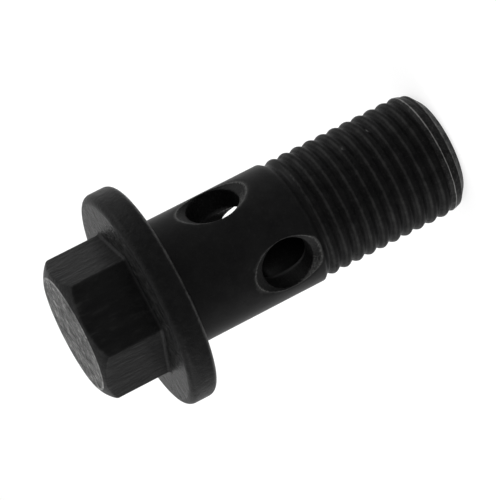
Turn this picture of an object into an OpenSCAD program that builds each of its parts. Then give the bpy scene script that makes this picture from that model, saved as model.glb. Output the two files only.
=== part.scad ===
// Banjo bolt: a hollow flange bolt that clamps a banjo eye and lets fluid through its shank.
// It stands on its threaded end. The origin is the centre of that end and +Z points to the head.
// X runs along the cross drilling near the thread, Y along the one nearer to the head.

/* [Head] */
// Width of the hexagon across its flats
across_flats = 14; // [12:0.1:17]
// Height of the hexagon above the flange
hex_h = 7.3; // [5:0.1:12]
// Rounding of the six upright edges of the hexagon
hex_edge_r = 0.4; // [0.2:0.1:1.2]
// Turn of a hexagon corner away from X, in degrees
hex_turn = 7; // [0:1:60]
// Diameter of the flat end face of the head
crown_d = 12.8; // [9:0.1:13.4]
// Slope of the turned crown where it leaves the end face, in degrees
crown_slope = 22; // [15:1:30]
// Radius of the turned crown between the end face and the flats
crown_r = 5.1; // [4.6:0.1:6]
// Fillet between the hexagon and the flange
root_fillet_r = 0.4; // [0.2:0.1:0.8]

/* [Flange] */
// Diameter of the flange
flange_d = 24.3; // [20:0.1:30]
// Thickness of the flange
flange_t = 3.2; // [2.4:0.1:5]
// Rounding of both rims of the flange
flange_edge_r = 0.8; // [0.3:0.1:1.1]

/* [Shank] */
// Diameter of the plain shank that centres the banjo eye
shank_d = 14.06; // [13.9:0.02:14.4]
// Length of the plain shank under the flange
shank_l = 15.6; // [14.6:0.1:24]
// Fillet between the shank and the seat under the flange
seat_fillet_r = 0.3; // [0.1:0.1:0.6]

/* [Thread] */
// Outside diameter of the thread
thread_d = 13.75; // [13.5:0.05:13.85]
// Length of the threaded part down to the end face
thread_l = 17.9; // [8:0.1:40]
// Diameter of the flat end face inside the thread's end chamfer
tip_d = 11.1; // [10.6:0.1:12.4]
// Height of the end chamfer along the axis
tip_chamfer_h = 1.35; // [0.6:0.05:2]

/* [Drillings] */
// Diameter of the axial oilway
oilway_d = 8.7; // [5:0.1:9]
// Distance from the seat to the full-diameter end of the axial oilway
oilway_stop = 3.6; // [2.6:0.1:4]
// Point angle of the drill that made the axial oilway
drill_point = 118; // [90:1:140]
// Chamfer at the mouth of the axial oilway
mouth_chamfer = 0.4; // [0.2:0.1:0.6]
// Diameter of the two cross drillings
port_d = 5.8; // [3:0.1:6]
// Distance from the seat to the cross drilling nearer to the head
port_1_from_seat = 8; // [7.4:0.1:8.6]
// Distance from the seat to the cross drilling nearer to the thread
port_2_from_seat = 12; // [9:0.1:12.2]
// Diameter of the countersinks where they meet the shank
port_sink_d = 8.4; // [6.4:0.1:8.6]
// Depth of each countersink under the surface of the shank
port_sink_depth = 0.73; // [0.5:0.01:1.2]

/* [Hidden] */
$fn = 96;
cut_over = 1;
seat_z = thread_l + shank_l;
flange_top_z = seat_z + flange_t;
hex_side = 60;
crown_turn_r = crown_d / 2 - crown_r * sin(crown_slope);
crown_turn_z = hex_h - crown_r * cos(crown_slope);

// Hexagon with rounded corners, a corner on +X
module rounded_hexagon(flats, edge_r) {
    corner_r = (flats / 2 - edge_r) / cos(hex_side / 2);
    tangents = [
        for (corner = [0:5])
            for (side = [-1, 1])
                let (turn = corner * hex_side, face = turn + side * hex_side / 2)
                    [corner_r * cos(turn) + edge_r * cos(face),
                     corner_r * sin(turn) + edge_r * sin(face)]
    ];
    polygon(tangents);
    for (corner = [0:5])
        rotate(corner * hex_side)
            translate([corner_r, 0])
                circle(r = edge_r);
}

// Space inside the turned crown: it trims the hexagon's top corners to a round, bevelled end
module crown_envelope() {
    rotate_extrude()
        intersection() {
            square([crown_turn_r + crown_r, hex_h]);
            union() {
                square([crown_turn_r, crown_turn_z + crown_r]);
                square([crown_turn_r + crown_r, crown_turn_z]);
                translate([crown_turn_r, crown_turn_z])
                    circle(r = crown_r);
            }
        }
}

// Section of a concave fillet in the corner between a wall on Y and a floor on X
module fillet_section(fillet_r, sunk) {
    difference() {
        translate([-sunk, -sunk])
            square(fillet_r + sunk);
        translate([fillet_r, fillet_r])
            circle(r = fillet_r);
    }
}

// Fillet that carries the hexagon down onto the flange: a strip along each flat
// and a sixth of a ring round each corner
module hexagon_root_fillet() {
    sunk = hex_edge_r / 2;
    corner_r = (across_flats / 2 - hex_edge_r) / cos(hex_side / 2);
    for (corner = [0:5]) {
        rotate(corner * hex_side + hex_side / 2)
            translate([across_flats / 2, 0, 0])
                rotate([90, 0, 0])
                    linear_extrude(height = corner_r, center = true)
                        fillet_section(root_fillet_r, sunk);
        rotate(corner * hex_side)
            translate([corner_r, 0, 0])
                rotate(-hex_side / 2)
                    rotate_extrude(angle = hex_side)
                        translate([hex_edge_r, 0])
                            fillet_section(root_fillet_r, sunk);
    }
}

module hexagon_head() {
    rotate(hex_turn) {
        intersection() {
            linear_extrude(height = hex_h)
                rounded_hexagon(across_flats, hex_edge_r);
            crown_envelope();
        }
        hexagon_root_fillet();
    }
}

// Round collar under the hexagon, with both rims rounded
module flange() {
    rim_r = flange_d / 2 - flange_edge_r;
    rotate_extrude() {
        square([rim_r, flange_t]);
        translate([0, flange_edge_r])
            square([flange_d / 2, flange_t - 2 * flange_edge_r]);
        for (z = [flange_edge_r, flange_t - flange_edge_r])
            translate([rim_r, z])
                circle(r = flange_edge_r);
    }
}

// Plain shank with the fillet that runs into the seat
module shank() {
    cylinder(d = shank_d, h = shank_l);
    translate([0, 0, shank_l])
        mirror([0, 0, 1])
            rotate_extrude()
                translate([shank_d / 2, 0])
                    fillet_section(seat_fillet_r, seat_fillet_r);
}

// Threaded length at its outside diameter, chamfered at the end
module threaded_length() {
    cylinder(d1 = tip_d, d2 = thread_d, h = tip_chamfer_h);
    translate([0, 0, tip_chamfer_h])
        cylinder(d = thread_d, h = thread_l - tip_chamfer_h);
}

// Blind axial drilling, open at the threaded end
module oilway() {
    depth = seat_z - oilway_stop;
    point_h = oilway_d / 2 / tan(drill_point / 2);
    translate([0, 0, -cut_over])
        cylinder(d = oilway_d, h = depth + cut_over);
    translate([0, 0, depth])
        cylinder(d1 = oilway_d, d2 = 0, h = point_h);
    translate([0, 0, -cut_over])
        cylinder(
            d1 = oilway_d + 2 * (mouth_chamfer + cut_over),
            d2 = oilway_d,
            h = mouth_chamfer + cut_over
        );
}

// Cross drilling right through the shank along X, countersunk at both mouths
module port() {
    sink_slope = (port_sink_d - port_d) / 2 / port_sink_depth;
    sink_reach = port_sink_depth + cut_over;
    rotate([0, 90, 0])
        cylinder(d = port_d, h = shank_d + 2 * cut_over, center = true);
    for (side = [0, 180])
        rotate(side)
            translate([shank_d / 2 - port_sink_depth, 0, 0])
                rotate([0, 90, 0])
                    cylinder(d1 = port_d, d2 = port_d + 2 * sink_slope * sink_reach, h = sink_reach);
}

module banjo_bolt() {
    color("dimgray")
        difference() {
            union() {
                translate([0, 0, flange_top_z])
                    hexagon_head();
                translate([0, 0, seat_z])
                    flange();
                translate([0, 0, thread_l])
                    shank();
                threaded_length();
            }
            oilway();
            translate([0, 0, seat_z - port_2_from_seat])
                port();
            translate([0, 0, seat_z - port_1_from_seat])
                rotate(90)
                    port();
        }
}

banjo_bolt();
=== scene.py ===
"""A banjo bolt in black phosphated steel, standing on its threaded end, in metres."""

import math

import bmesh
import bpy
import numpy as np
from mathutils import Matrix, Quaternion, Vector


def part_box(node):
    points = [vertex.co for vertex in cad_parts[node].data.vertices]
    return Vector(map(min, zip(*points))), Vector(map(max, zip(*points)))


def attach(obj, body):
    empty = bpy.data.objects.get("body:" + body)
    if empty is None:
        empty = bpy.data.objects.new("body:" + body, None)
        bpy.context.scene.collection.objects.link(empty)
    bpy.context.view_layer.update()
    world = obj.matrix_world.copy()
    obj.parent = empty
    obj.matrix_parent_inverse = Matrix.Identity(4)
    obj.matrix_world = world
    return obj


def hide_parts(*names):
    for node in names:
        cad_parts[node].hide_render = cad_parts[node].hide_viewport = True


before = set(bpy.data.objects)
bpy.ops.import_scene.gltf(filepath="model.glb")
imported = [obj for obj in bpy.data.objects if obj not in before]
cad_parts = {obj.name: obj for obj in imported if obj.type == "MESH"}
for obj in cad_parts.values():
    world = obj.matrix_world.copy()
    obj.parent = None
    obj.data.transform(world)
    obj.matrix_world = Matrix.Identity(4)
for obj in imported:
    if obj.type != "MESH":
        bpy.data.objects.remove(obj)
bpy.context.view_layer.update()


# Camera
# A long lens looks at the upright bolt from 13 degrees above the floor. It is rolled, so that
# the bolt lies across the picture with its head at the lower left.

camera_lens = 204.2
camera_azimuth = math.radians(34.5)
camera_elevation = math.radians(13.07)
camera_roll = math.radians(-117.2)
camera_distance = 0.29727
camera_aim = Vector((0.000297, -0.000432, 0.02342))

towards_camera = Vector(
    (
        math.cos(camera_azimuth) * math.cos(camera_elevation),
        math.sin(camera_azimuth) * math.cos(camera_elevation),
        math.sin(camera_elevation),
    )
)
camera_data = bpy.data.cameras.new("camera")
camera_data.lens = camera_lens
camera_data.sensor_width = 36
camera_data.clip_start = 0.01
camera_data.clip_end = 10
camera = bpy.data.objects.new("camera", camera_data)
camera.rotation_mode = "QUATERNION"
camera.rotation_quaternion = towards_camera.to_track_quat("Z", "Y") @ Quaternion(
    (0, 0, 1), camera_roll
)
camera.location = camera_aim + towards_camera * camera_distance
bpy.context.scene.collection.objects.link(camera)
bpy.context.scene.camera = camera


# Hexagon head
# Cold-forged from the bar end in one with the flange, 14 mm across flats. Its end is turned to
# a flat face inside a rounded crown, which leaves a curved edge on each flat. The whole bolt is
# one piece of steel, so its skin is gathered patch by patch and welded after the last section.

MM = 0.001
across_flats = 14
hex_height = 7.3
hex_edge_radius = 0.4
hex_turn = math.radians(7)
crown_face_radius = 6.4
crown_slope = math.radians(22)
crown_radius = 5.1
crown_rim_rounding = 0.12
edge_rounding = 0.18
edge_drop_limit = 0.25
edge_out_power = 1.6
edge_down_power = 1.25
root_fillet = 0.4
flange_thickness = 3.2
bolt_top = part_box("banjo_bolt")[1].z / MM
flange_top = bolt_top - hex_height
hex_corner_centre = (across_flats / 2 - hex_edge_radius) / math.cos(math.pi / 6)
crown_centre_radius = crown_face_radius - crown_radius * math.sin(crown_slope)
crown_centre_height = bolt_top - crown_radius * math.cos(crown_slope)
hex_columns_on_edge = 10
columns = 192
bolt_mesh = bpy.data.meshes.new("bolt_skin")
skin_points = []
skin_faces = []
skin_finish = []
skin_wear_and_highlight = []


def ring(radius, height, angles):
    """Points in mm on a level ring. Radius and height are one value, or one for each angle."""
    radius = np.broadcast_to(radius, angles.shape)
    height = np.broadcast_to(height, angles.shape)
    return np.stack([radius * np.cos(angles), radius * np.sin(angles), height], axis=-1)


def add_patch(rows, finish, wear_and_highlight=0, inward=False):
    """Adds a grid of points, with rows away from the head and columns from X to Y."""
    grid = np.asarray(rows, float)
    skin_wear_and_highlight.append(np.broadcast_to(wear_and_highlight, grid.shape[:2]).ravel())
    count, width = grid.shape[:2]
    start = sum(len(p) for p in skin_points)
    skin_points.append(grid.reshape(-1, 3))
    numbers = start + np.arange(count * width).reshape(count, width)
    after = np.roll(numbers, -1, axis=1)
    quads = np.stack(
        [numbers[:-1], numbers[1:], after[1:], after[:-1]], axis=-1
    ).reshape(-1, 4)
    if inward:
        quads = quads[:, ::-1]
    skin_faces.append(quads)
    skin_finish.append(np.broadcast_to(finish, len(quads)))


def close_centre(point, rim, finish, inward=False):
    """Fills the middle of a round face with triangles from its rim to one centre point."""
    start = sum(len(p) for p in skin_points)
    skin_points.append(np.vstack([point, rim]))
    skin_wear_and_highlight.append(np.zeros(len(rim) + 1))
    numbers = start + 1 + np.arange(len(rim))
    after = np.roll(numbers, -1)
    centre = np.full(len(rim), start)
    fan = np.stack([centre, numbers, after, centre], axis=-1)
    if inward:
        fan = np.stack([centre, after, numbers, centre], axis=-1)
    skin_faces.append(fan)
    skin_finish.append(np.full(len(rim), finish))


mottle_range = (0.38, 0.66)
speckle_range = (0.55, 0.7)
wear_and_highlight_range = (1.0, 1.7)
mottle_in_wear_and_highlight = 1.4
paleness_in_roughness = -0.1
grain_in_roughness = 0.12
grain_in_height = 0.35
blue_in_dark = 1.04
blue_in_pale = 0.98


def worked_skin_group():
    """Node group: mottled, speckled black phosphate, paler where a point attribute is high; that
    attribute holds both wear and painted highlights.
    """
    group = bpy.data.node_groups.new("phosphated_skin", "ShaderNodeTree")
    for name, kind in (
        ("Dark", "NodeSocketColor"),
        ("Pale", "NodeSocketColor"),
        ("Mottle scale", "NodeSocketFloat"),
        ("Mottle amount", "NodeSocketFloat"),
        ("Speckle scale", "NodeSocketFloat"),
        ("Speckle amount", "NodeSocketFloat"),
        ("Drawn out", "NodeSocketFloat"),
        ("Wear and highlight", "NodeSocketFloat"),
        ("Roughness", "NodeSocketFloat"),
    ):
        group.interface.new_socket(name, in_out="INPUT", socket_type=kind)
    for name, kind in (
        ("Color", "NodeSocketColor"),
        ("Roughness", "NodeSocketFloat"),
        ("Height", "NodeSocketFloat"),
    ):
        group.interface.new_socket(name, in_out="OUTPUT", socket_type=kind)
    nodes, links = group.nodes, group.links
    given = nodes.new("NodeGroupInput")
    made = nodes.new("NodeGroupOutput")

    # Texture space, drawn out along the bolt's axis where the die or cold drawing left streaks
    place = nodes.new("ShaderNodeTexCoord")
    stretch = nodes.new("ShaderNodeCombineXYZ")
    stretch.inputs["X"].default_value = 1
    stretch.inputs["Y"].default_value = 1
    links.new(given.outputs["Drawn out"], stretch.inputs["Z"])
    drawn = nodes.new("ShaderNodeVectorMath")
    drawn.operation = "MULTIPLY"
    links.new(place.outputs["Object"], drawn.inputs[0])
    links.new(stretch.outputs[0], drawn.inputs[1])

    mottle = nodes.new("ShaderNodeTexNoise")
    mottle.inputs["Detail"].default_value = 6
    mottle.inputs["Roughness"].default_value = 0.65
    links.new(drawn.outputs[0], mottle.inputs["Vector"])
    links.new(given.outputs["Mottle scale"], mottle.inputs["Scale"])

    grain = nodes.new("ShaderNodeTexNoise")
    grain.inputs["Detail"].default_value = 3
    grain.inputs["Roughness"].default_value = 0.6
    links.new(drawn.outputs[0], grain.inputs["Vector"])
    links.new(given.outputs["Speckle scale"], grain.inputs["Scale"])

    spread = nodes.new("ShaderNodeMapRange")
    spread.inputs["From Min"].default_value = mottle_range[0]
    spread.inputs["From Max"].default_value = mottle_range[1]
    links.new(mottle.outputs["Fac"], spread.inputs["Value"])
    cloud = nodes.new("ShaderNodeMath")
    cloud.operation = "MULTIPLY"
    links.new(spread.outputs["Result"], cloud.inputs[0])
    links.new(given.outputs["Mottle amount"], cloud.inputs[1])

    spots = nodes.new("ShaderNodeMapRange")
    spots.inputs["From Min"].default_value = speckle_range[0]
    spots.inputs["From Max"].default_value = speckle_range[1]
    links.new(grain.outputs["Fac"], spots.inputs["Value"])
    speckled = nodes.new("ShaderNodeMath")
    speckled.operation = "MULTIPLY_ADD"
    links.new(spots.outputs["Result"], speckled.inputs[0])
    links.new(given.outputs["Speckle amount"], speckled.inputs[1])
    links.new(cloud.outputs[0], speckled.inputs[2])

    # Paler marks from the point attribute, both wear and painted highlights, broken up by the
    # mottling
    wear_and_highlight_map = nodes.new("ShaderNodeAttribute")
    wear_and_highlight_map.attribute_name = "wear_and_highlight"
    broken = nodes.new("ShaderNodeMath")
    broken.operation = "MULTIPLY_ADD"
    broken.inputs[1].default_value = mottle_in_wear_and_highlight
    links.new(mottle.outputs["Fac"], broken.inputs[0])
    links.new(wear_and_highlight_map.outputs["Fac"], broken.inputs[2])
    wear_and_highlight = nodes.new("ShaderNodeMapRange")
    wear_and_highlight.inputs["From Min"].default_value = wear_and_highlight_range[0]
    wear_and_highlight.inputs["From Max"].default_value = wear_and_highlight_range[1]
    links.new(broken.outputs[0], wear_and_highlight.inputs["Value"])
    paleness = nodes.new("ShaderNodeMath")
    paleness.operation = "MULTIPLY_ADD"
    paleness.use_clamp = True
    links.new(wear_and_highlight.outputs["Result"], paleness.inputs[0])
    links.new(given.outputs["Wear and highlight"], paleness.inputs[1])
    links.new(speckled.outputs[0], paleness.inputs[2])

    # Colour, roughness and relief all follow the same pattern
    tint = nodes.new("ShaderNodeMix")
    tint.data_type = "RGBA"
    links.new(paleness.outputs[0], tint.inputs["Factor"])
    links.new(given.outputs["Dark"], tint.inputs[6])
    links.new(given.outputs["Pale"], tint.inputs[7])
    links.new(tint.outputs[2], made.inputs["Color"])

    polish = nodes.new("ShaderNodeMath")
    polish.operation = "MULTIPLY_ADD"
    polish.inputs[1].default_value = paleness_in_roughness
    links.new(paleness.outputs[0], polish.inputs[0])
    links.new(given.outputs["Roughness"], polish.inputs[2])
    uneven = nodes.new("ShaderNodeMath")
    uneven.operation = "MULTIPLY_ADD"
    uneven.inputs[1].default_value = grain_in_roughness
    links.new(grain.outputs["Fac"], uneven.inputs[0])
    links.new(polish.outputs[0], uneven.inputs[2])
    links.new(uneven.outputs[0], made.inputs["Roughness"])

    relief = nodes.new("ShaderNodeMath")
    relief.operation = "MULTIPLY_ADD"
    relief.inputs[1].default_value = grain_in_height
    links.new(grain.outputs["Fac"], relief.inputs[0])
    links.new(mottle.outputs["Fac"], relief.inputs[2])
    links.new(relief.outputs[0], made.inputs["Height"])
    return group


phosphated_skin = worked_skin_group()


def black_steel(
    name,
    dark,
    pale,
    mottle,
    mottle_scale,
    speckle,
    speckle_scale,
    drawn,
    wear_and_highlight,
    roughness,
    bump,
    gloss=0.04,
):
    """Adds a finish to the bolt and returns its slot. Drawn below 1 leaves streaks along it."""
    material = bpy.data.materials.new(name)
    material.use_nodes = True
    nodes, links = material.node_tree.nodes, material.node_tree.links
    shader = nodes["Principled BSDF"]
    skin = nodes.new("ShaderNodeGroup")
    skin.node_tree = phosphated_skin
    skin.inputs["Dark"].default_value = (dark, dark, dark * blue_in_dark, 1)
    skin.inputs["Pale"].default_value = (pale, pale, pale * blue_in_pale, 1)
    skin.inputs["Mottle scale"].default_value = mottle_scale
    skin.inputs["Mottle amount"].default_value = mottle
    skin.inputs["Speckle scale"].default_value = speckle_scale
    skin.inputs["Speckle amount"].default_value = speckle
    skin.inputs["Drawn out"].default_value = drawn
    skin.inputs["Wear and highlight"].default_value = wear_and_highlight
    skin.inputs["Roughness"].default_value = roughness
    links.new(skin.outputs["Color"], shader.inputs["Base Color"])
    links.new(skin.outputs["Roughness"], shader.inputs["Roughness"])
    ridges = nodes.new("ShaderNodeBump")
    ridges.inputs["Distance"].default_value = bump
    links.new(skin.outputs["Height"], ridges.inputs["Height"])
    links.new(ridges.outputs["Normal"], shader.inputs["Normal"])
    shader.inputs["Specular IOR Level"].default_value = gloss
    bolt_mesh.materials.append(material)
    return len(bolt_mesh.materials) - 1


stamped = black_steel(
    "stamped",
    dark=0.002,
    pale=0.28,
    mottle=0.35,
    mottle_scale=500,
    speckle=0.8,
    speckle_scale=1300,
    drawn=1.0,
    wear_and_highlight=0.75,
    roughness=0.31,
    bump=0.0026,
)
forged = black_steel(
    "forged",
    dark=0.003,
    pale=0.035,
    mottle=0.1,
    mottle_scale=1100,
    speckle=0.08,
    speckle_scale=2200,
    drawn=0.3,
    wear_and_highlight=0.6,
    roughness=0.34,
    bump=0.0001,
)


def wall_angles():
    """Angles round the hexagon, close together on its six rounded edges."""
    half_edge = math.atan2(
        hex_edge_radius * math.sin(math.pi / 6),
        hex_corner_centre + hex_edge_radius * math.cos(math.pi / 6),
    )
    on_edge = np.linspace(-half_edge, half_edge, hex_columns_on_edge)
    flat_columns = columns // 6 - hex_columns_on_edge
    on_flat = np.linspace(half_edge, math.pi / 3 - half_edge, flat_columns + 2)[1:-1]
    one_sixth = np.concatenate([on_edge, on_flat])
    return hex_turn + np.concatenate([one_sixth + k * math.pi / 3 for k in range(6)])


def wall_distance(angles):
    """Distance from the axis to the hexagon's rounded wall, in mm."""
    from_corner = (angles - hex_turn + math.pi / 6) % (math.pi / 3) - math.pi / 6
    flat = across_flats / 2 / np.cos(np.abs(from_corner) - math.pi / 6)
    across = hex_corner_centre * np.sin(from_corner)
    reach = np.sqrt(np.maximum(hex_edge_radius**2 - across**2, 0))
    corner = hex_corner_centre * np.cos(from_corner) + reach
    on_corner = np.abs(across) < hex_edge_radius
    turned_out = np.arctan2(
        corner * np.sin(np.abs(from_corner)),
        corner * np.cos(from_corner) - hex_corner_centre,
    )
    return np.where(on_corner & (turned_out < math.pi / 6), corner, flat)


head_angles = wall_angles()
wall = wall_distance(head_angles)


def crown_height(radius):
    """Height of the turned crown at a distance from the axis."""
    drop = np.sqrt(np.maximum(crown_radius**2 - (radius - crown_centre_radius) ** 2, 0))
    return crown_centre_height + drop


head_rows = []
head_wear_and_highlight = []
end_face_radii = (0.8, 1.8, 2.8, 3.8, 4.8, 5.6, 6.0, 6.2)
# The end face's rounded rim is painted pale all round: a painted highlight along its edge.
face_rim_highlight = 0.75
crown_edge_rubbed = 0.3
root_rubbed = 0.2


def head_ring(radius, height, wear_and_highlight=0, angles=head_angles):
    """Adds the next row of the head's skin, which runs from the end face to the seat."""
    head_rows.append(ring(radius, height, angles))
    head_wear_and_highlight.append(np.broadcast_to(wear_and_highlight, angles.shape))


for radius in end_face_radii:
    head_ring(radius, bolt_top)
close_centre((0, 0, bolt_top), head_rows[0], stamped)
crown_start = crown_face_radius + crown_rim_rounding
rim_drop = bolt_top - crown_height(crown_start)
for step in (0, 1 / 3, 2 / 3, 1):
    out = crown_face_radius + crown_rim_rounding * (2 * step - 1)
    head_ring(out, bolt_top - rim_drop * step**2, face_rim_highlight)
face_rows = len(head_rows)
for step in np.linspace(0, 1, 7)[1:]:
    out = crown_start + (wall - edge_rounding - crown_start) * step
    head_ring(out, crown_height(out))
crown_edge = crown_height(wall - edge_rounding)
edge_drop = np.minimum(crown_edge - crown_height(wall), edge_drop_limit) + edge_rounding
for turn in np.linspace(0, 1, 5)[1:]:
    out = wall - edge_rounding * (1 - turn) ** edge_out_power
    head_ring(out, crown_edge - edge_drop * turn**edge_down_power, crown_edge_rubbed)
edge_end = head_rows[-1][:, 2]
fillet_top = flange_top + root_fillet
for step in np.linspace(0, 1, 7)[1:]:
    head_ring(wall, edge_end + (fillet_top - edge_end) * step)
for turn in np.linspace(0, math.pi / 2, 6)[1:]:
    out = wall + root_fillet * (1 - math.cos(turn))
    head_ring(out, flange_top + root_fillet * (1 - math.sin(turn)), root_rubbed)


# Flange
# Forged in one with the head, 24.3 mm wide, with both rims rounded in the die. Its underside
# is faced flat and bears on the sealing washer of the banjo eye.

flange_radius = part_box("banjo_bolt")[1].x / MM
flange_rim = 0.8
rim_front_rubbed = 0.1
# A thin pale line is painted along the middle of the seat-side rounding.
rim_back_pale_line = 0.9
rim_back_sharpness = 6
seat_height = flange_top - flange_thickness
shank_radius = 7.03
seat_fillet = 0.3
shank_angles = -math.pi / 4 + np.arange(columns) * 2 * math.pi / columns
rim_centre = flange_radius - flange_rim
struck = black_steel(
    "struck",
    dark=0.003,
    pale=0.07,
    mottle=0.15,
    mottle_scale=1000,
    speckle=0.25,
    speckle_scale=2200,
    drawn=1.0,
    wear_and_highlight=0.5,
    roughness=0.25,
    bump=0.0005,
)
pressed = black_steel(
    "pressed",
    dark=0.003,
    pale=0.035,
    mottle=0.08,
    mottle_scale=1100,
    speckle=0.05,
    speckle_scale=4200,
    drawn=1.0,
    wear_and_highlight=0.9,
    roughness=0.34,
    bump=0.00012,
)

forged_rows = len(head_rows)
head_foot = wall + root_fillet
for step in np.linspace(0, 1, 8)[1:]:
    head_ring(head_foot + (rim_centre - head_foot) * step, flange_top)
struck_rows = len(head_rows)
for turn in np.linspace(0, math.pi / 2, 7)[1:]:
    out = rim_centre + flange_rim * math.sin(turn)
    head_ring(out, flange_top - flange_rim * (1 - math.cos(turn)), rim_front_rubbed)
# The seat-side rounding, with its painted pale line along the middle.
for turn in np.linspace(0, math.pi / 2, 9):
    out = rim_centre + flange_rim * math.cos(turn)
    wear_and_highlight = rim_back_pale_line * math.sin(2 * turn) ** rim_back_sharpness
    head_ring(out, seat_height + flange_rim * (1 - math.sin(turn)), wear_and_highlight)
# The columns bunched at the hexagon's edges spread evenly on the way in under the flange
first_column = int(np.argmin(np.abs(head_angles - shank_angles[0] - 2 * math.pi)))
even_angles = np.roll(shank_angles, first_column)
even_angles = even_angles + np.round((head_angles - even_angles) / (2 * math.pi)) * 2 * math.pi
for step in np.linspace(0, 1, 8)[1:]:
    out = rim_centre + (shank_radius + seat_fillet - rim_centre) * step
    head_ring(out, seat_height, 0, head_angles + (even_angles - head_angles) * step)
add_patch(head_rows[:face_rows], stamped, head_wear_and_highlight[:face_rows])
flats = slice(face_rows - 1, forged_rows)
add_patch(head_rows[flats], forged, head_wear_and_highlight[flats])
flange_face = slice(forged_rows - 1, struck_rows)
add_patch(head_rows[flange_face], struck, head_wear_and_highlight[flange_face])
rim = slice(struck_rows - 1, None)
add_patch(head_rows[rim], pressed, head_wear_and_highlight[rim])


# Rolled thread
# M14 x 1.5, right-hand, rolled between dies, so its crests are rounded. The last groove below
# the shank runs out round the back, and the end is chamfered for an easy start.

thread_top_row = 17.0
thread_pitch = 1.5
thread_crest = 6.875
thread_depth = 0.38
crest_fullness = 1.9
shank_end_fullness = 1.15
valley_rounding = 0.25
groove_height_at_x = 17.16
runout_from = math.radians(140)
runout_to = math.radians(305)
shank_bevel_width = 0.83
shank_bevel_growth = 0.26 / math.pi
shank_bevel_middle = math.radians(34.5)
tip_radius = 5.55
tip_chamfer = 0.8
lead_radius = 6.52
lead_length = 1.25
rolled = black_steel(
    "rolled",
    dark=0.003,
    pale=0.035,
    mottle=0.1,
    mottle_scale=900,
    speckle=0.15,
    speckle_scale=4200,
    drawn=1.0,
    wear_and_highlight=0.35,
    roughness=0.36,
    bump=0.00006,
    gloss=0.02,
)
chamfered = black_steel(
    "chamfered",
    dark=0.003,
    pale=0.15,
    mottle=0.08,
    mottle_scale=1400,
    speckle=0.1,
    speckle_scale=4200,
    drawn=1.0,
    wear_and_highlight=0.85,
    roughness=0.36,
    bump=0.00006,
)


def smooth_step(low, high, value):
    """0 below the low limit, 1 above the high one, and an eased climb between them."""
    t = np.clip((value - low) / (high - low), 0, 1)
    return t * t * (3 - 2 * t)


def groove_fullness(turned_angle):
    """1 along the groove, fading to 0 where it runs out. Angles count up along the helix."""
    return 1 - smooth_step(runout_from, runout_to, turned_angle)


def taper_radius(heights):
    """Radius of the end chamfer, with a slight lead above it that dies out in the crests."""
    lead = lead_radius + (thread_crest - lead_radius) * (heights - tip_chamfer) / lead_length
    taper = lead_radius - (lead_radius - tip_radius) * (1 - heights / tip_chamfer)
    return np.where(heights > tip_chamfer, lead, taper)


def eased(distance, reach):
    """Share of the reach covered at a distance from the groove's middle, rounded at its bottom."""
    covered = np.hypot(distance, valley_rounding) - valley_rounding
    return np.clip(covered / (np.hypot(reach, valley_rounding) - valley_rounding), 0, 1)


def uncut_radius(angles, heights):
    """Radius of the shank and thread before the end is chamfered and the ports are drilled."""
    turns = (heights - groove_height_at_x) / thread_pitch - angles / (2 * math.pi)
    groove_below = np.floor(turns)
    above_groove = (turns - groove_below) * thread_pitch
    below_groove = thread_pitch - above_groove
    angle_below = angles + 2 * math.pi * groove_below
    full_below = groove_fullness(angle_below)
    full_above = groove_fullness(angle_below + 2 * math.pi)
    # Between two grooves stands a rounded crest, and above the last one the shank and its bevel
    crest = shank_radius + (thread_crest - shank_radius) * full_above
    crest_half = thread_pitch / 2
    bevel = shank_bevel_width + shank_bevel_growth * np.clip(
        angle_below - shank_bevel_middle, -math.pi / 2, math.pi / 2
    )
    lower_reach = bevel + (crest_half - bevel) * full_above
    roundness = shank_end_fullness + (crest_fullness - shank_end_fullness) * full_above
    lower_side = (1 - eased(above_groove, lower_reach)) ** roundness
    upper_side = (1 - eased(below_groove, crest_half)) ** crest_fullness
    lower_depth = (crest - thread_crest + thread_depth) * full_below * lower_side
    upper_depth = thread_depth * full_above * upper_side
    return crest - np.maximum(lower_depth, upper_depth)


def body_radius(angles, heights):
    """Radius of the shank and thread before the ports are drilled."""
    return np.minimum(uncut_radius(angles, heights), taper_radius(heights))


# Rows of the threaded length. The head's side of each crest is painted pale: a painted highlight,
# and wear where that flank carries the load.
row_height = 0.085
end_row_height = 0.05
end_zone = 2.3
load_flank_offset = 0.3
crest_top_band = 0.05
crest_highlight_and_wear = 0.85
load_side_from = 0.47
lead_edge_bottom = 1.15
cut_edge_worn = 0.7
cut_end_worn = 0.38
lead_edge_fade = (0.03, 0.065)
cut_edge_fade = (0.04, 0.09)
cut_end_fade = (0.7, 0.8)
thread_rows = []
thread_wear_and_highlight = []
thread_row_count = round((thread_top_row - end_zone) / row_height)
end_row_count = round(end_zone / end_row_height)
thread_heights = np.concatenate(
    [
        np.linspace(thread_top_row, end_zone, thread_row_count + 1),
        np.linspace(end_zone, 0, end_row_count + 1)[1:],
    ]
)
for height in thread_heights:
    radius = body_radius(shank_angles, height)
    thread_rows.append(ring(radius, height, shank_angles))
    # Pale band just on the head's side of each crest: painted highlight and load-flank wear.
    loaded = body_radius(shank_angles, height - load_flank_offset)
    on_crest = smooth_step(thread_crest - crest_top_band, thread_crest, loaded)
    above_lead = uncut_radius(shank_angles, height) - taper_radius(height)
    above_crest = (height - groove_height_at_x) / thread_pitch - shank_angles / (2 * math.pi)
    load_side = (above_crest % 1 > load_side_from) & (height > lead_edge_bottom)
    lead_edge = (1 - smooth_step(*lead_edge_fade, abs(above_lead))) * load_side
    cut_edge = cut_edge_worn * (1 - smooth_step(*cut_edge_fade, abs(height - tip_chamfer)))
    cut_end = cut_end_worn * (1 - smooth_step(*cut_end_fade, height))
    on_end = np.maximum(lead_edge, cut_edge + cut_end)
    thread_wear_and_highlight.append(on_end if height <= end_zone else crest_highlight_and_wear * on_crest)

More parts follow.
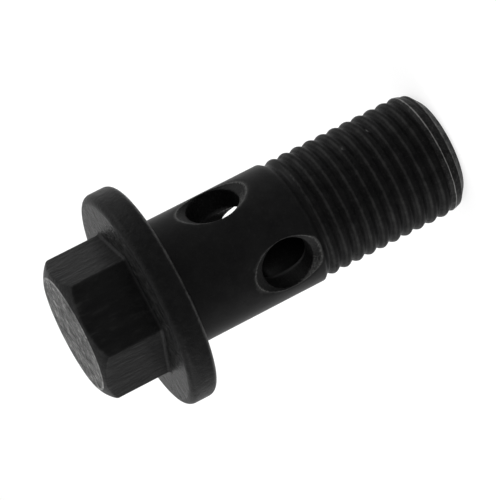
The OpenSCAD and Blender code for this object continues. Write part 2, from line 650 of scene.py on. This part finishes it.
# Two small nicks in the black of the crests: angle from X, height, and how bare the steel is
nicks = ((math.radians(81.5), 7.25, 0.85), (math.radians(74), 10.75, 0.5))
nick_half_width = 0.26
nick_half_height = 0.11
nick_fade = (0.4, 1.7)
broken_black = np.zeros((len(thread_heights), columns))
for nick_angle, nick_height, bareness in nicks:
    along = (shank_angles - nick_angle) * thread_crest / nick_half_width
    across = (thread_heights - nick_height) / nick_half_height
    from_nick = np.hypot(along[None, :], across[:, None])
    bare = bareness * (1 - smooth_step(*nick_fade, from_nick))
    broken_black = np.maximum(broken_black, bare)
thread_wear_and_highlight = np.maximum(thread_wear_and_highlight, broken_black)
rolled_finish = np.where(broken_black[:thread_row_count] > 0, chamfered, rolled).ravel()
rolled_rows = slice(0, thread_row_count + 1)
add_patch(thread_rows[rolled_rows], rolled_finish, thread_wear_and_highlight[rolled_rows])
add_patch(thread_rows[thread_row_count:], chamfered, thread_wear_and_highlight[thread_row_count:])


# Oilway
# Drilled up the axis from the threaded end. It stops short of the head with the cone that a
# 118 degree drill leaves, and feeds the four ports.

oilway_radius = 4.35
oilway_to_seat = 3.6
oilway_stop = seat_height - oilway_to_seat
drill_half_angle = math.radians(59)
mouth_chamfer = 0.4
tip_edge_band = 0.08
mouth_edge_band = 0.05
mouth_edge_break = 0.03
end_face_middle = 5.1
cone_steps = (0, 0.3, 0.6, 0.9)
drilled = black_steel(
    "drilled",
    dark=0.002,
    pale=0.08,
    mottle=0.05,
    mottle_scale=5200,
    speckle=0.1,
    speckle_scale=4200,
    drawn=1.0,
    wear_and_highlight=0.8,
    roughness=0.38,
    bump=0.00003,
)
drill_cone = oilway_radius / math.tan(drill_half_angle)
lower_rows = [
    ring(oilway_radius, height, shank_angles)
    for height in np.linspace(mouth_chamfer, thread_top_row, 12)
]
add_patch(lower_rows, drilled)
cone_rows = [
    ring(oilway_radius * (1 - step), oilway_stop + drill_cone * step, shank_angles)
    for step in cone_steps
]
add_patch(cone_rows, drilled)
close_centre((0, 0, oilway_stop + drill_cone), cone_rows[-1], drilled, inward=True)

# End face and the chamfered mouth of the oilway
end_rows = [thread_rows[-1]]
for radius in (
    tip_radius - tip_edge_band,
    end_face_middle,
    oilway_radius + mouth_chamfer + mouth_edge_band,
):
    end_rows.append(ring(radius, 0.0, shank_angles))
end_rows.append(
    ring(oilway_radius + mouth_chamfer - mouth_edge_break, mouth_edge_break, shank_angles)
)
end_rows.append(ring(oilway_radius, mouth_chamfer, shank_angles))
end_rubbed = np.array([1, 0.6, 0, 0.3, 0.6, 0])
add_patch(end_rows, chamfered, end_rubbed[:, None])


# Plain shank with its four countersunk ports
# Turned to 14 mm to centre the banjo eye. Two 5.8 mm drillings cross it at right angles, one
# higher than the other, and each mouth is countersunk with a little of the edge broken.

shank_top = seat_height - seat_fillet
port_radius = 2.9
port_heights = (21.5, 25.5, 21.5, 25.5)
sink_foot = 6.3
sink_mouth_radius = 4.2
sink_slope = (sink_mouth_radius - port_radius) / (shank_radius - sink_foot)
widest_mouth = 6.0
port_edge_break = 0.1
port_edge_drop = 0.035
sink_foot_break = 0.04
sink_steps = (0.03, 0.15, 0.4, 0.65, 0.88)
sink_rubbed = np.array([0.35, 0.25, 0, 0, 0.1, 0.65])
# One side of each countersink, low towards the thread, is painted pale: a painted highlight where
# light falls on that wall.
sink_lit_side = math.radians(145)
sink_lit_side_pale = 0.6
side_rows = 54
gather_at_thread = 0.7
gather_power = 2.2
first_row_reach = 0.4
first_row_share = 0.35
# Shares of the way from a mouth to the edge of its quarter, closest together at the edge
row_steps = np.concatenate([[0.0], np.linspace(0.0, 1.0, 9)[1:-1] ** 1.2 * 0.8])
row_steps = np.unique(np.round(np.concatenate([row_steps, np.linspace(0.78, 1.0, 11)]), 4))
turned = black_steel(
    "turned",
    dark=0.003,
    pale=0.035,
    mottle=0.08,
    mottle_scale=600,
    speckle=0.08,
    speckle_scale=4200,
    drawn=1.0,
    wear_and_highlight=0.8,
    roughness=0.34,
    bump=0.00003,
)


def sector_edge(middle, top, gather):
    """Angle and height of points round a quarter of a wall. Gather draws its rows down."""
    across = columns // 4
    low, high = middle - math.pi / 4, middle + math.pi / 4
    along = np.linspace(low, high, across + 1)
    up = np.linspace(0, 1, side_rows + 1)
    up = thread_top_row + (top - thread_top_row) * ((1 - gather) * up + gather * up**gather_power)
    angle = np.concatenate(
        [along[:-1], np.full(side_rows, high), along[:0:-1], np.full(side_rows, low)]
    )
    height = np.concatenate(
        [
            np.full(across, thread_top_row),
            up[:-1],
            np.full(across, top),
            up[:0:-1],
        ]
    )
    return angle, height


def sink_depth(out):
    """Distance from the bolt's axis of a countersink's wall, that far out from the port's axis."""
    return sink_foot + (out - port_radius) / sink_slope


def port_mouth_radius(middle, port_height, direction):
    """Distance from the port's axis at which its countersink meets the body, found by halving."""
    low = np.full(direction.shape, port_radius)
    high = np.full(direction.shape, widest_mouth)
    for _ in range(40):
        tried = (low + high) / 2
        side = tried * np.cos(direction)
        height = port_height + tried * np.sin(direction)
        depth = sink_depth(tried)
        angle = middle + np.arctan2(side, depth)
        outside = np.hypot(depth, side) > body_radius(angle, height)
        high = np.where(outside, tried, high)
        low = np.where(outside, low, tried)
    return (low + high) / 2


def port_points(middle, depth, side, height):
    """Points given along, across and above a port's axis, in the bolt's own axes."""
    return np.stack(
        [
            depth * math.cos(middle) - side * math.sin(middle),
            depth * math.sin(middle) + side * math.cos(middle),
            np.broadcast_to(height, side.shape),
        ],
        axis=-1,
    )


for quarter, port_height in enumerate(port_heights):
    middle = quarter * math.pi / 2
    # Rows lie close together at the lower edge, where the thread runs out
    edge_angle, edge_height = sector_edge(middle, shank_top, gather_at_thread)
    edge_side = shank_radius * (edge_angle - middle)
    direction = np.arctan2(edge_height - port_height, edge_side)
    mouth = port_mouth_radius(middle, port_height, direction)

    # Wall of the drilling, from the oilway out to the bottom of the countersink
    side = port_radius * np.cos(direction)
    height = port_height + port_radius * np.sin(direction)
    wall_start = np.sqrt(oilway_radius**2 - side**2)
    port_rows = []
    for step in np.linspace(0, 1, 6):
        depth = wall_start + (sink_foot - sink_foot_break - wall_start) * step
        port_rows.append(port_points(middle, depth, side, height))
    inner_rim = port_rows[0]
    add_patch(port_rows, drilled)

    # Countersink, with the sharp corners at its foot and mouth eased
    sink_rows = [port_rows[-1]]
    for step in sink_steps:
        out = port_radius + (mouth - port_radius) * step
        sink_rows.append(
            port_points(
                middle,
                sink_depth(out),
                out * np.cos(direction),
                port_height + out * np.sin(direction),
            )
        )
    # Painted highlight on one side of the countersink wall.
    sink_side_highlight = sink_lit_side_pale * np.clip(np.cos(direction + sink_lit_side), 0, 1) ** 2
    add_patch(sink_rows, drilled, np.maximum(sink_rubbed[:, None], sink_side_highlight[None, :]))

    # Shank round the port, with its outermost rows close together for the run-out
    mouth_side = mouth * np.cos(direction)
    mouth_angle = middle + np.arctan2(mouth_side, sink_depth(mouth))
    mouth_height = port_height + mouth * np.sin(direction)
    gap = np.hypot(
        (edge_angle - mouth_angle) * shank_radius, edge_height - mouth_height
    )
    body_rows = [sink_rows[-1]]
    for number, step in enumerate(row_steps):
        share = step
        if number == 0:
            share = np.minimum(port_edge_break / gap, first_row_reach) * first_row_share
        angle = mouth_angle + (edge_angle - mouth_angle) * share
        height = mouth_height + (edge_height - mouth_height) * share
        radius = body_radius(angle, height)
        if number == 0:
            radius = radius - port_edge_drop
        body_rows.append(ring(radius, height, angle))
    mouth_rubbed = np.clip(1 - np.arange(len(body_rows)) / 2, 0, 1)
    add_patch(body_rows, turned, mouth_rubbed[:, None])

    # Inside of the oilway round the port
    hole_angle, hole_height = sector_edge(middle, oilway_stop, 0)
    rim_angle = middle + np.arctan2(side, wall_start)
    rim_height = port_height + port_radius * np.sin(direction)
    inner_rows = [inner_rim]
    for step in np.linspace(0, 1, 7)[1:]:
        angle = rim_angle + (hole_angle - rim_angle) * step
        height = rim_height + (hole_height - rim_height) * step
        inner_rows.append(ring(oilway_radius, height, angle))
    add_patch(inner_rows, drilled, inward=True)

# Fillet from the shank into the seat
fillet_rows = []
for turn in np.linspace(0, math.pi / 2, 6):
    out = shank_radius + seat_fillet * (1 - math.sin(turn))
    fillet_rows.append(
        ring(out, seat_height - seat_fillet * (1 - math.cos(turn)), shank_angles)
    )
add_patch(fillet_rows, turned)


# One mesh of the whole bolt
# The patches are welded along their shared edges. The mesh stands in for the bolt's solid, and
# differs from it in the thread, the end's lead and the broken edges.

weld_distance = 0.004 * MM
points = np.vstack(skin_points) * MM
# A face whose last corner is its first one again is a triangle
faces = [
    [int(n) for n in face[:3]] if face[0] == face[3] else [int(n) for n in face]
    for face in np.vstack(skin_faces)
]
bolt_mesh.from_pydata(points.tolist(), [], faces)
bolt_mesh.polygons.foreach_set("material_index", np.concatenate(skin_finish))
bolt_mesh.polygons.foreach_set("use_smooth", np.ones(len(faces), bool))
wear_and_highlight_layer = bolt_mesh.attributes.new("wear_and_highlight", "FLOAT", "POINT")
wear_and_highlight_layer.data.foreach_set("value", np.concatenate(skin_wear_and_highlight))
welded = bmesh.new()
welded.from_mesh(bolt_mesh)
bmesh.ops.remove_doubles(welded, verts=welded.verts, dist=weld_distance)
welded.to_mesh(bolt_mesh)
welded.free()
bolt = bpy.data.objects.new("bolt_skin", bolt_mesh)
bpy.context.scene.collection.objects.link(bolt)
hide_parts("banjo_bolt")
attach(bolt, "root")


# Floor
# A plain white studio table, on which the bolt stands. The camera and the reflections see it
# white with the bolt's soft shadow, and its paint throws light back up at the bolt.

floor_half_width = 3.0
floor_mesh = bpy.data.meshes.new("floor")
floor_mesh.from_pydata(
    [
        (x * floor_half_width, y * floor_half_width, 0.0)
        for x, y in ((-1, -1), (1, -1), (1, 1), (-1, 1))
    ],
    [],
    [(0, 1, 2, 3)],
)
floor = bpy.data.objects.new("floor", floor_mesh)
bpy.context.scene.collection.objects.link(floor)

white_table = bpy.data.materials.new("white_table")
white_table.use_nodes = True
table_nodes, table_links = white_table.node_tree.nodes, white_table.node_tree.links
table_nodes.remove(table_nodes["Principled BSDF"])
paint = table_nodes.new("ShaderNodeBsdfDiffuse")
paint.inputs["Color"].default_value = (0.8, 0.8, 0.8, 1)
shadow_catch = table_nodes.new("ShaderNodeBsdfDiffuse")
shadow_catch.inputs["Color"].default_value = (0.3, 0.3, 0.3, 1)
glow = table_nodes.new("ShaderNodeEmission")
glow.inputs["Strength"].default_value = 0.75
seen_white = table_nodes.new("ShaderNodeAddShader")
table_links.new(glow.outputs[0], seen_white.inputs[0])
table_links.new(shadow_catch.outputs[0], seen_white.inputs[1])
ray = table_nodes.new("ShaderNodeLightPath")
seen = table_nodes.new("ShaderNodeMath")
seen.operation = "MAXIMUM"
table_links.new(ray.outputs["Is Camera Ray"], seen.inputs[0])
table_links.new(ray.outputs["Is Glossy Ray"], seen.inputs[1])
choose = table_nodes.new("ShaderNodeMixShader")
table_links.new(seen.outputs[0], choose.inputs[0])
table_links.new(paint.outputs[0], choose.inputs[1])
table_links.new(seen_white.outputs[0], choose.inputs[2])
table_links.new(choose.outputs[0], table_nodes["Material Output"].inputs["Surface"])
floor_mesh.materials.append(white_table)


# Light
# Soft studio light: a white room seen by the camera and in reflections, a dimmer room that
# lights the bolt, and large lamps overhead and at both sides.

world = bpy.data.worlds.new("studio")
world.use_nodes = True
bpy.context.scene.world = world
room_nodes, room_links = world.node_tree.nodes, world.node_tree.links
room = room_nodes["Background"]
room.inputs["Color"].default_value = (0.35, 0.35, 0.35, 1)
backdrop = room_nodes.new("ShaderNodeBackground")
backdrop.inputs["Color"].default_value = (1, 1, 1, 1)
room_ray = room_nodes.new("ShaderNodeLightPath")
seen_room = room_nodes.new("ShaderNodeMath")
seen_room.operation = "MAXIMUM"
room_links.new(room_ray.outputs["Is Camera Ray"], seen_room.inputs[0])
room_links.new(room_ray.outputs["Is Glossy Ray"], seen_room.inputs[1])
seen_through = room_nodes.new("ShaderNodeMath")
seen_through.operation = "MAXIMUM"
room_links.new(seen_room.outputs[0], seen_through.inputs[0])
room_links.new(room_ray.outputs["Is Transmission Ray"], seen_through.inputs[1])
room_choice = room_nodes.new("ShaderNodeMixShader")
room_links.new(seen_through.outputs[0], room_choice.inputs[0])
room_links.new(room.outputs[0], room_choice.inputs[1])
room_links.new(backdrop.outputs[0], room_choice.inputs[2])
room_links.new(room_choice.outputs[0], room_nodes["World Output"].inputs["Surface"])


lamp_aim = Vector((0, 0, 0.02))


def soft_lamp(name, azimuth, elevation, distance, size, power):
    """A square lamp that faces the bolt, at angles in degrees seen from the bolt."""
    lamp_data = bpy.data.lights.new(name, "AREA")
    lamp_data.size = size
    lamp_data.energy = power
    lamp = bpy.data.objects.new(name, lamp_data)
    turn, lift = math.radians(azimuth), math.radians(elevation)
    outward = Vector(
        (math.cos(turn) * math.cos(lift), math.sin(turn) * math.cos(lift), math.sin(lift))
    )
    lamp.location = lamp_aim + outward * distance
    lamp.rotation_mode = "QUATERNION"
    lamp.rotation_quaternion = outward.to_track_quat("Z", "Y")
    bpy.context.scene.collection.objects.link(lamp)


soft_lamp("overhead_lamp", azimuth=0, elevation=90, distance=0.6, size=0.9, power=3.6)
soft_lamp("left_lamp", azimuth=124, elevation=20, distance=0.6, size=0.4, power=2.3)
soft_lamp("right_lamp", azimuth=-56, elevation=20, distance=0.6, size=0.4, power=2.9)


# View
# The plain view shows a colour about as it is written.

bpy.context.scene.view_settings.view_transform = "Standard"
